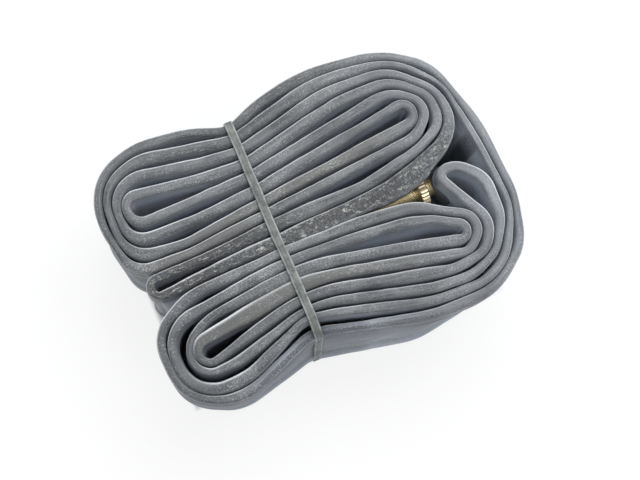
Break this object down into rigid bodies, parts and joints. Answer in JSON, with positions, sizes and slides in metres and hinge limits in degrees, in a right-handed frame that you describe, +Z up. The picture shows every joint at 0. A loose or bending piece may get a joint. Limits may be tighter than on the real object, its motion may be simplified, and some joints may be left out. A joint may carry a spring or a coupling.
{
  "type": "inner tube",
  "caption": "Empty butyl bicycle inner tube wound into a flat-sided bundle, with its threaded valve, and held by a rubber band.",
  "frame": {"origin": "centre of the bundle's outline, on the surface that the ribbon's lower edge stands on", "axes": "+X along the strands to the end where the valve's fold lies, +Y across the strands, +Z up the ribbon's height"},
  "size_m": [0.1186, 0.0854, 0.0454],
  "materials": {
    "butyl": "satin, lightly talced",
    "patch_rubber": "matt",
    "stem_brass": "rolled thread, bright",
    "nut_brass": "knurled, bright",
    "core_brass": "turned",
    "pin_brass": "turned",
    "gasket_rubber": "matt",
    "tip_brass": "knurled",
    "band_rubber": "matt, cut edge"
  },
  "bodies": {
    "bundle": {"inner_tube": "butyl", "valve_patch": "patch_rubber", "valve_stem": "stem_brass", "valve_core": "core_brass", "rubber_band": "band_rubber"},
    "ring_nut_body": {"ring_nut": "nut_brass"},
    "plunger": {"core_pin": "pin_brass", "pin_gasket": "gasket_rubber"},
    "lock_nut": {"tip_nut": "tip_brass"}
  },
  "joints": [
    {"name": "ring_nut_turn", "type": "hinge", "parent": "bundle", "child": "ring_nut_body", "pos_m": [0.0349, -0.00291, 0.0335], "axis": [-0.9997, -0.0227, 0], "continuous": true},
    {"name": "plunger_press", "type": "slide", "parent": "bundle", "child": "plunger", "axis": [-0.9997, -0.0227, 0], "range_m": [-0.0015, 0]},
    {"name": "lock_nut_turn", "type": "hinge", "parent": "plunger", "child": "lock_nut", "pos_m": [0.00561, -0.00357, 0.0335], "axis": [-0.9997, -0.0227, 0], "continuous": true}
  ]
}
